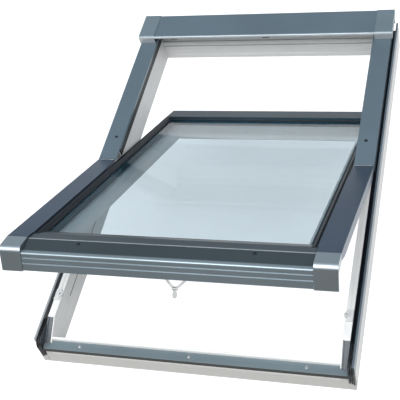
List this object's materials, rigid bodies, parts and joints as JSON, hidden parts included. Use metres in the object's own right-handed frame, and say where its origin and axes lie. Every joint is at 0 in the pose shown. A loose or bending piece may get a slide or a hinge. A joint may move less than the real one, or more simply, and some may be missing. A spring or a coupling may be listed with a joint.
{
  "type": "roof skylight",
  "caption": "Centre-pivot roof window: white frame with slate-grey outside covers and a glazed sash that turns on curved-track hinges and has a small lever handle.",
  "frame": {"origin": "under the pivot axis, mid-width, on the plane of the frame's room-side face", "axes": "+X across the window, +Y up the roof slope, +Z out of the roof"},
  "size_m": [0.78, 1.144, 0.5999],
  "materials": {
    "white_pvc": "smooth satin white",
    "white_fitting": "moulded white",
    "channel_metal": "dark satin coat",
    "slate_metal": "grey-blue satin coat",
    "cap_metal": "light grey metallic coat",
    "bead_metal": "dark satin coat",
    "black_rubber": "matt",
    "grey_plastic": "moulded dark grey",
    "glass": "clear float glass",
    "lever_metal": "satin",
    "steel": "zinc plated"
  },
  "bodies": {
    "frame": {"frame_left_stile": "white_pvc", "frame_right_stile": "white_pvc", "upper_left_stop": "white_pvc", "upper_right_stop": "white_pvc", "frame_top_rail": "white_pvc", "frame_bottom_rail": "white_pvc", "left_side_channel": "channel_metal", "right_side_channel": "channel_metal", "upper_left_cover": "slate_metal", "upper_right_cover": "slate_metal", "upper_left_seal": "black_rubber", "upper_right_seal": "black_rubber", "top_hood": "slate_metal", "hood_left_cap": "slate_metal", "hood_right_cap": "slate_metal", "drip_strip": "slate_metal", "left_corner_block": "grey_plastic", "right_corner_block": "grey_plastic", "left_corner_seal": "black_rubber", "right_corner_seal": "black_rubber", "left_hinge_track": "steel", "right_hinge_track": "steel", "left_bolt_keeper": "white_fitting", "right_bolt_keeper": "white_fitting", "strike_plate": "steel", "cover_screws": "slate_metal", "strip_screws": "steel"},
    "sash": {"sash_left_stile": "white_pvc", "sash_right_stile": "white_pvc", "sash_top_rail": "white_pvc", "sash_bottom_rail": "white_pvc", "outer_pane": "glass", "inner_pane": "glass", "glass_spacer": "steel", "bedding_tape": "black_rubber", "glass_gasket": "black_rubber", "left_bead": "bead_metal", "right_bead": "bead_metal", "bottom_bead": "bead_metal", "top_bead": "bead_metal", "sash_top_cover": "slate_metal", "bottom_bar": "slate_metal", "lower_left_cover": "slate_metal", "lower_right_cover": "slate_metal", "left_corner_cap": "cap_metal", "right_corner_cap": "cap_metal", "bar_screws": "slate_metal", "left_hinge_shoe": "steel", "right_hinge_shoe": "steel", "handle_bracket": "white_fitting"},
    "handle": {"handle_lever": "lever_metal"}
  },
  "joints": [
    {"name": "sash_pivot", "type": "hinge", "parent": "frame", "child": "sash", "pos_m": [0, 0, 0.114], "axis": [-1, 0, 0], "range_deg": [-30, 110]},
    {"name": "handle_turn", "type": "hinge", "parent": "sash", "child": "handle", "pos_m": [0, -0.49508, 0.25786], "axis": [1, 0, 0], "range_deg": [0, 60]}
  ]
}
